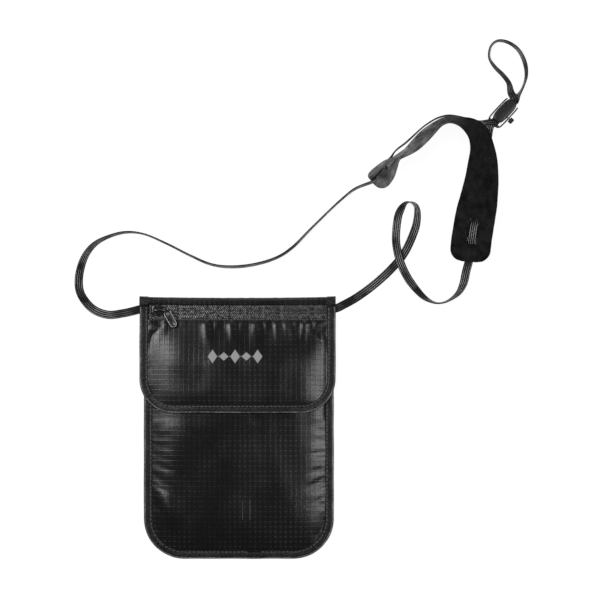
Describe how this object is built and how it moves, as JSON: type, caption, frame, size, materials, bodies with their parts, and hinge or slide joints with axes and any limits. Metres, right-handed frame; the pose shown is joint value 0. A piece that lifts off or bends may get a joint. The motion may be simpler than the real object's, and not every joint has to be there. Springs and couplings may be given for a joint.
{
  "type": "neck pouch wallet",
  "caption": "Flat fold-over neck pouch with a zip pocket in its flap, on a webbing strap with a neck pad and a cord lock, lying on its back.",
  "frame": {"origin": "on the surface that the pouch lies on, under the middle of the pouch; the strap and what is on it are left out of that middle", "axes": "+Z out of the pouch's front, +Y from its foot to its fold, +X to the right as its front is seen"},
  "size_m": [0.3225, 0.3697, 0.0304],
  "materials": {
    "ripstop": "satin ripstop weave",
    "grosgrain": "ribbed matt tape",
    "hook_and_loop": "matt pile",
    "lining": "matt plain weave",
    "print": "flat printed ink",
    "zip_tape": "matt twill",
    "zip_coil": "satin",
    "slider_enamel": "gloss black enamel",
    "pull_plastic": "semi-gloss",
    "webbing": "ribbed webbing",
    "brushed_felt": "brushed matt pile",
    "moulded_plastic": "satin moulded",
    "button_plastic": "satin moulded",
    "spring_steel": "drawn wire"
  },
  "bodies": {
    "pouch": {"back_panel": "ripstop", "front_panel": "ripstop", "body_binding": "grosgrain", "mouth_binding": "grosgrain", "loop_patch": "hook_and_loop", "neck_strap": "webbing", "neck_pad": "brushed_felt"},
    "flap": {"flap_lining": "lining", "flap_panel": "ripstop", "flap_binding": "grosgrain", "flap_fold_strip": "ripstop", "flap_emblem": "print", "hook_patch": "hook_and_loop", "zip_tape_upper": "zip_tape", "zip_tape_lower": "zip_tape", "zip_coil_upper": "zip_coil", "zip_coil_lower": "zip_coil", "zip_stop_left": "slider_enamel", "zip_stop_right": "slider_enamel"},
    "zip_slider": {"zip_slider": "slider_enamel"},
    "pull_tab": {"zip_pull_tab": "pull_plastic"},
    "cord_lock": {"lock_shell_lower": "moulded_plastic", "lock_shell_upper": "moulded_plastic", "lock_clip": "moulded_plastic", "lock_spring": "spring_steel"},
    "lock_button": {"lock_button": "button_plastic"}
  },
  "joints": [
    {"name": "flap_hinge", "type": "hinge", "parent": "pouch", "child": "flap", "pos_m": [0, 0.0908, 0.003], "axis": [-1, 0, 0], "range_deg": [0, 145]},
    {"name": "zip_slide", "type": "slide", "parent": "flap", "child": "zip_slider", "axis": [1, 0, 0], "range_m": [0, 0.112]},
    {"name": "pull_tab_hinge", "type": "hinge", "parent": "zip_slider", "child": "pull_tab", "pos_m": [-0.0513, 0.0846, 0.0073], "axis": [-0.874, -0.486, 0], "range_deg": [0, 100]},
    {"name": "lock_slide", "type": "slide", "parent": "pouch", "child": "cord_lock", "axis": [0.6816, 0.7317, 0], "range_m": [-0.004, 0.008], "deforming": ["neck_strap"]},
    {"name": "button_press", "type": "slide", "parent": "cord_lock", "child": "lock_button", "axis": [-0.7317, 0.6816, 0], "range_m": [0, 0.0012], "stiffness_N_per_m": 300, "springref_m": -0.0005, "deforming": ["lock_spring"]}
  ]
}
